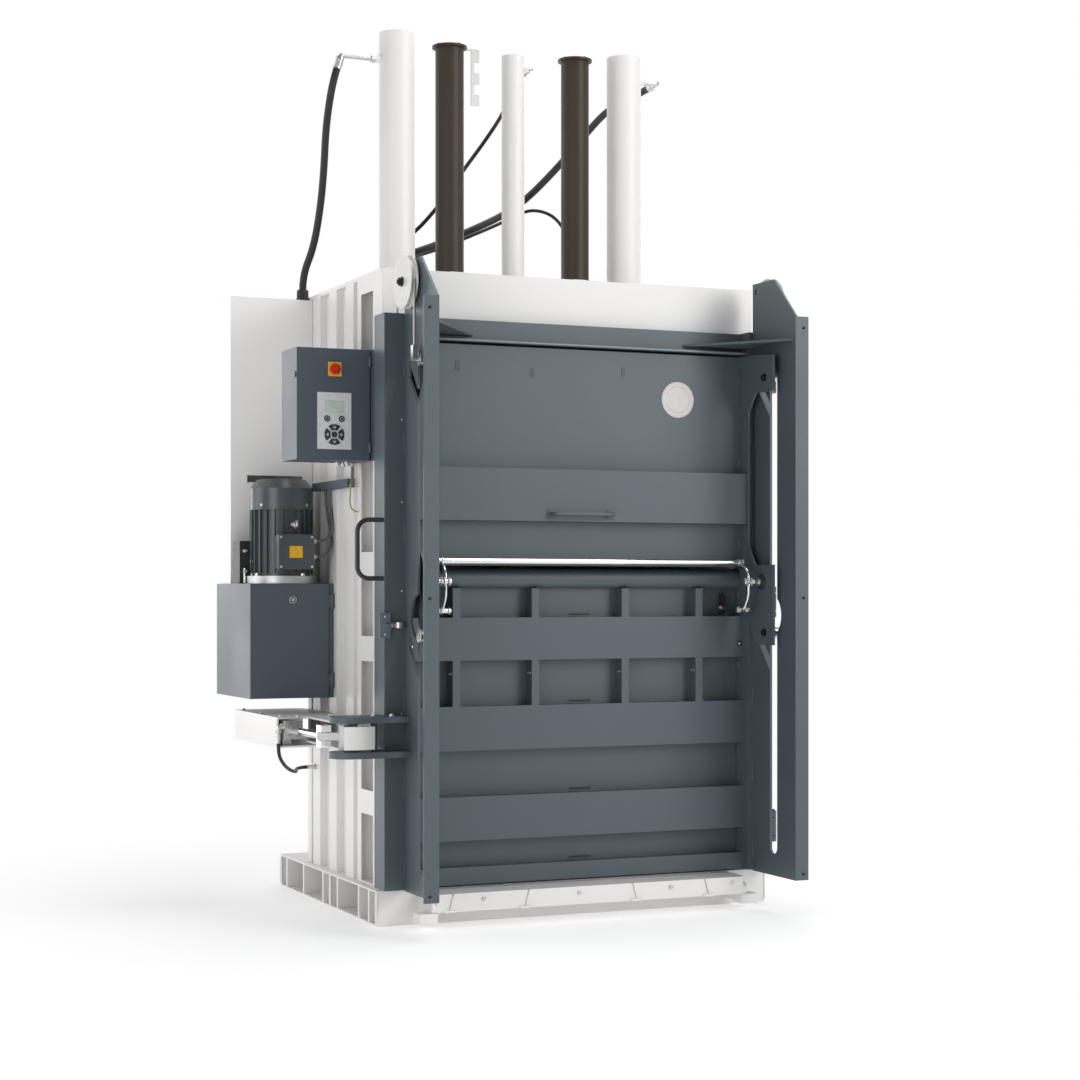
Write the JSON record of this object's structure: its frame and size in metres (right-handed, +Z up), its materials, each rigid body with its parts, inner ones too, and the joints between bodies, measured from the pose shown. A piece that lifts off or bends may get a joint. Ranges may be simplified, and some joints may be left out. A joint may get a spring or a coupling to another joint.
{
  "type": "vertical recycling baler",
  "caption": "Vertical recycling baler: steel press body on a base with fork pockets, front door with a sliding feed flap, hydraulic cylinders, power pack and control box.",
  "frame": {"origin": "on the floor, under the middle of the base", "axes": "+X to the machine's right as seen from the front, +Y to the back (the door faces -Y), +Z up"},
  "size_m": [1.711, 1.404, 2.997],
  "materials": {
    "body_white": "satin powder coat",
    "door_grey": "satin powder coat",
    "tube_brown": "satin paint",
    "cabinet_grey": "fine textured powder coat",
    "guard_black": "satin paint",
    "bright_steel": "zinc plated",
    "chrome_rod": "hard chrome",
    "weight_iron": "rough",
    "wire_steel": "stranded wire",
    "flange_alloy": "cast",
    "motor_grey": "satin paint",
    "pulley_white": "cast nylon",
    "fan_plastic": "matt",
    "switch_red": "gloss",
    "keypad_film": "matt film",
    "hose_rubber": "smooth rubber",
    "cable_grey": "matt sheath"
  },
  "bodies": {
    "root": {"base_frame": "body_white", "platform_lip": "body_white", "left_wall": "body_white", "right_wall": "body_white", "rear_wall": "body_white", "head_frame": "body_white", "header_fascia": "body_white", "left_cylinder": "body_white", "right_cylinder": "body_white", "centre_cylinder": "body_white", "hose_fittings": "bright_steel", "left_hose": "hose_rubber", "right_hose": "hose_rubber", "thin_hoses": "hose_rubber", "valve_cabinet": "body_white", "pack_tank": "cabinet_grey", "pump_block": "flange_alloy", "motor_stator": "motor_grey", "motor_flange": "flange_alloy", "fan_cowl": "motor_grey", "terminal_box": "motor_grey", "power_cables": "cable_grey", "control_box": "cabinet_grey", "box_bracket": "cabinet_grey", "lock_console": "body_white", "lock_cylinder": "bright_steel", "lock_hose": "hose_rubber", "hinge_brackets": "door_grey", "body_bolts": "bright_steel"},
    "main_door": {"left_post": "door_grey", "right_post": "door_grey", "door_panel": "door_grey", "door_header": "door_grey", "left_cheek": "door_grey", "right_cheek": "door_grey", "lock_plates": "guard_black", "door_handle": "cabinet_grey", "eyebolt_bracket": "bright_steel"},
    "feed_flap": {"flap_panel": "door_grey", "left_flap_side": "door_grey", "right_flap_side": "door_grey", "flap_rollers": "bright_steel", "lift_cables": "wire_steel"},
    "flap_handle": {"handle_bar": "chrome_rod"},
    "pulleys": {"lift_pulleys": "pulley_white"},
    "counterweight_pair": {"counterweights": "weight_iron", "return_cables": "wire_steel"},
    "ram": {"press_platen": "body_white", "guide_tubes": "tube_brown", "tube_caps": "tube_brown", "piston_rods": "chrome_rod"},
    "ejector": {"ejector_plate": "body_white"},
    "cover": {"pack_cover": "cabinet_grey"},
    "cover_lock": {"pack_lock": "bright_steel"},
    "control_lid": {"control_door": "cabinet_grey", "keypad": "keypad_film"},
    "main_switch": {"switch_knob": "switch_red"},
    "lock_ram": {"lock_rod": "chrome_rod"},
    "claw": {"lock_claw": "body_white"},
    "fan": {"motor_fan": "fan_plastic"}
  },
  "joints": [
    {"name": "door_hinge", "type": "hinge", "parent": "root", "child": "main_door", "pos_m": [0.722, -0.54, 0], "axis": [0, 0, 1], "range_deg": [0, 135]},
    {"name": "flap_slide", "type": "slide", "parent": "main_door", "child": "feed_flap", "axis": [0, 0, -1], "range_m": [0, 0.7], "deforming": ["lift_cables"]},
    {"name": "flap_handle_hinge", "type": "hinge", "parent": "feed_flap", "child": "flap_handle", "pos_m": [0, -0.712, 1.098], "axis": [1, 0, 0], "range_deg": [0, 35]},
    {"name": "pulley_spin", "type": "hinge", "parent": "main_door", "child": "pulleys", "pos_m": [0, -0.6535, 2.036], "axis": [1, 0, 0], "range_deg": [0, 520]},
    {"name": "counterweight_slide", "type": "slide", "parent": "main_door", "child": "counterweight_pair", "axis": [0, 0, 1], "range_m": [0, 0.7], "deforming": ["return_cables"]},
    {"name": "ram_slide", "type": "slide", "parent": "root", "child": "ram", "axis": [0, 0, -1], "range_m": [0, 0.84]},
    {"name": "ejector_hinge", "type": "hinge", "parent": "root", "child": "ejector", "pos_m": [0, -0.47, 0.131], "axis": [1, 0, 0], "range_deg": [0, 30]},
    {"name": "cover_hinge", "type": "hinge", "parent": "root", "child": "cover", "pos_m": [-0.682, -0.008, 0], "axis": [0, 0, 1], "range_deg": [0, 85]},
    {"name": "cover_lock_turn", "type": "hinge", "parent": "cover", "child": "cover_lock", "pos_m": [-0.8215, 0, 1.038], "axis": [0, 1, 0], "range_deg": [0, 90]},
    {"name": "control_lid_hinge", "type": "hinge", "parent": "root", "child": "control_lid", "pos_m": [-0.686, -0.41, 0], "axis": [0, 0, 1], "range_deg": [0, 65]},
    {"name": "main_switch_turn", "type": "hinge", "parent": "control_lid", "child": "main_switch", "pos_m": [-0.804, -0.4, 1.78], "axis": [0, 1, 0], "range_deg": [0, 90]},
    {"name": "claw_turn", "type": "hinge", "parent": "root", "child": "claw", "pos_m": [-0.805, -0.545, 0.61], "axis": [0, 0, 1], "range_deg": [0, 35]},
    {"name": "lock_ram_slide", "type": "slide", "parent": "root", "child": "lock_ram", "axis": [0, -1, 0], "range_m": [0, 0.045]},
    {"name": "motor_spin", "type": "hinge", "parent": "root", "child": "fan", "pos_m": [-0.822, 0.123, 0], "axis": [0, 0, 1], "continuous": true}
  ],
  "couplings": [
    {"joint": "pulley_spin", "follows": "flap_slide", "rad_per_m": 12.821},
    {"joint": "counterweight_slide", "follows": "flap_slide", "ratio": 1},
    {"joint": "lock_ram_slide", "follows": "claw_turn", "m_per_rad": 0.07226}
  ]
}
